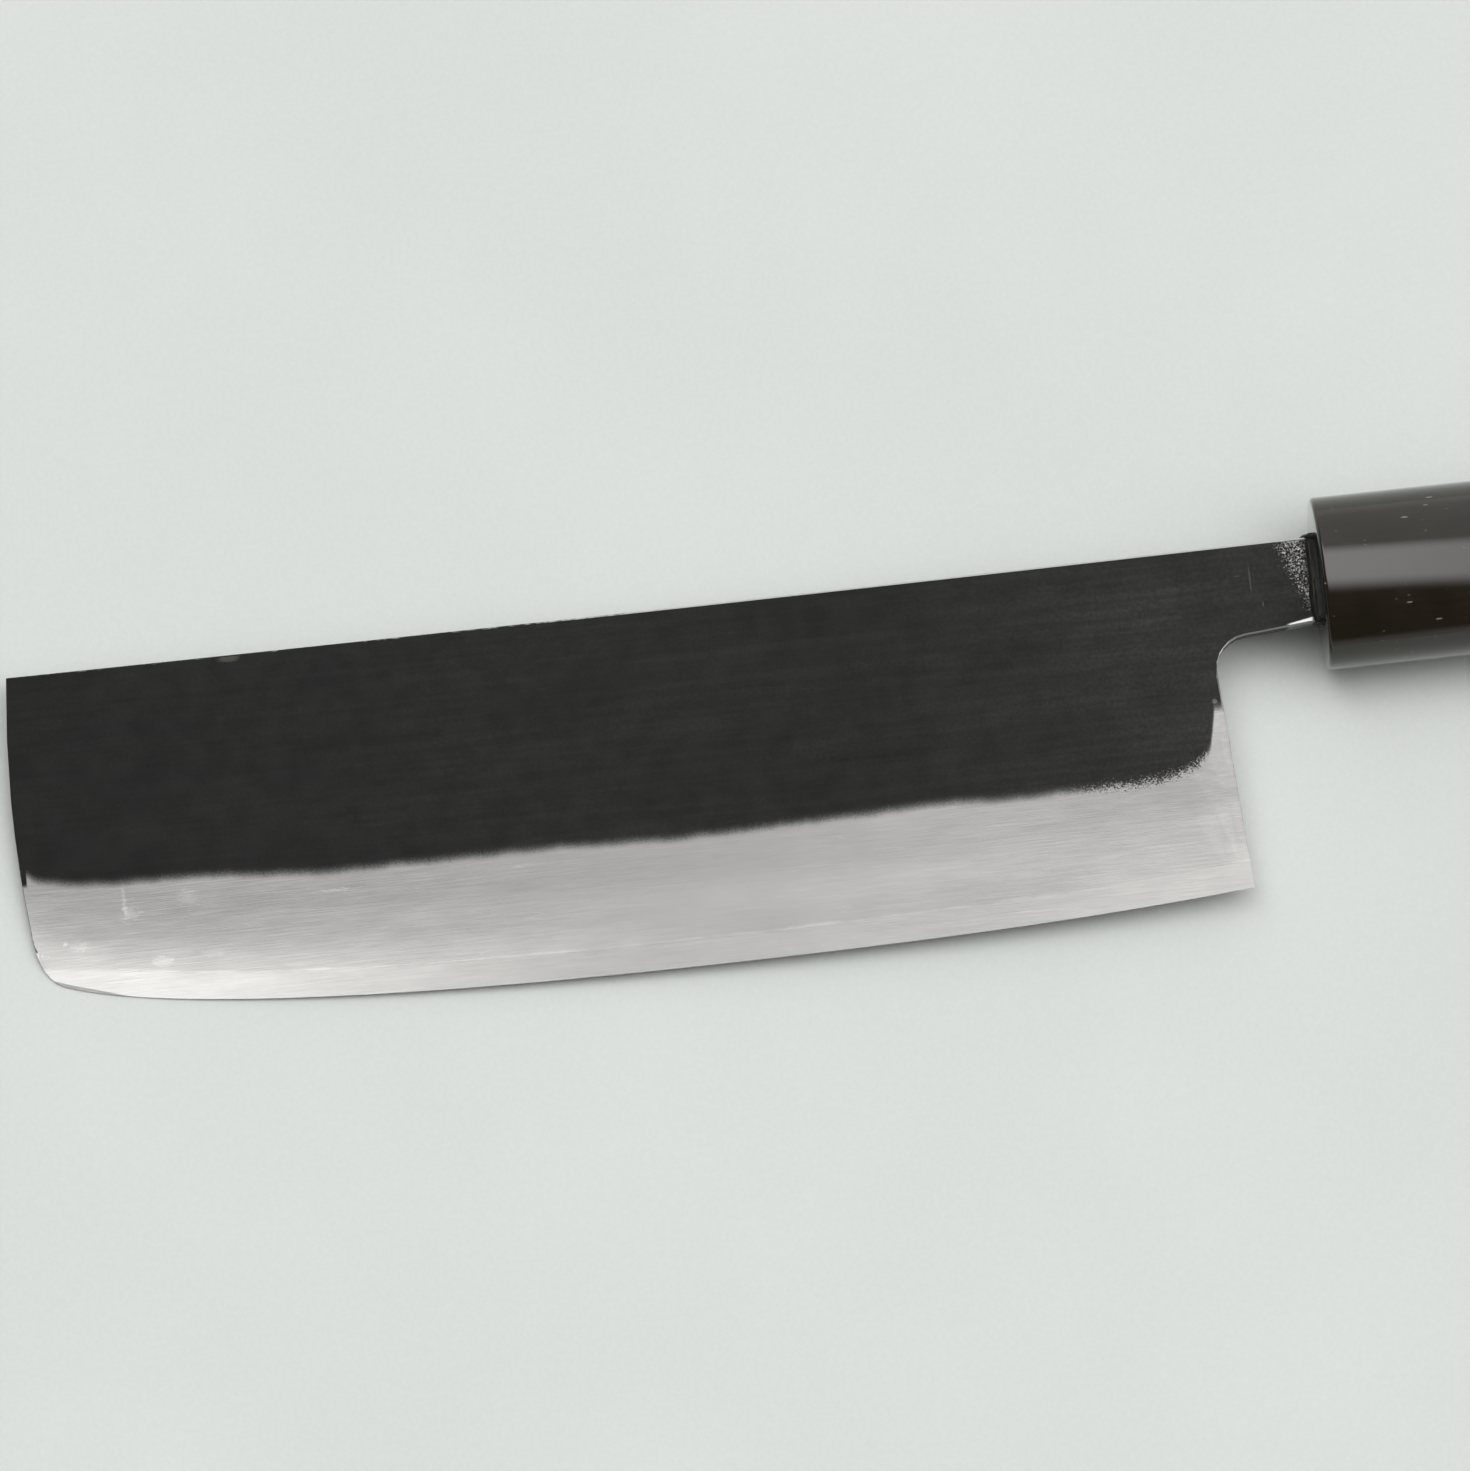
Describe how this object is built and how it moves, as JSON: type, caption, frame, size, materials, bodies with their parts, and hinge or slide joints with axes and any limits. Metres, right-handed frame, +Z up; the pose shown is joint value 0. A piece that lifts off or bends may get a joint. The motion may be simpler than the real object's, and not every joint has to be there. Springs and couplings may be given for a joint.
{
  "type": "usuba knife",
  "caption": "Double-bevel vegetable knife with a tall square-tipped three-layer blade, a narrow neck and an oval stick handle with a dark collar.",
  "frame": {"origin": "middle of the bottom of the knife's box, as it lies on its side on a table", "axes": "+X from the tip towards the handle, +Y from the edge towards the spine, +Z up from the table"},
  "size_m": [0.3068, 0.0546, 0.0233],
  "materials": {
    "soft_iron": "black forge scale on the flats, ground and brushed on the bevels",
    "core_steel": "finely ground, bright",
    "collar_horn": "polished brown-black",
    "mouth_resin": "smooth black",
    "dowel_wood": "turned, raw",
    "bedding_adhesive": "hardened adhesive",
    "grip_wood": "dark, oiled and polished"
  },
  "bodies": {
    "root": {"cheek_upper": "soft_iron", "cheek_lower": "soft_iron", "core_steel": "core_steel", "collar": "collar_horn", "mouth_resin": "mouth_resin", "core_dowel": "dowel_wood", "tang_bedding": "bedding_adhesive", "handle_grip": "grip_wood"}
  },
  "joints": []
}
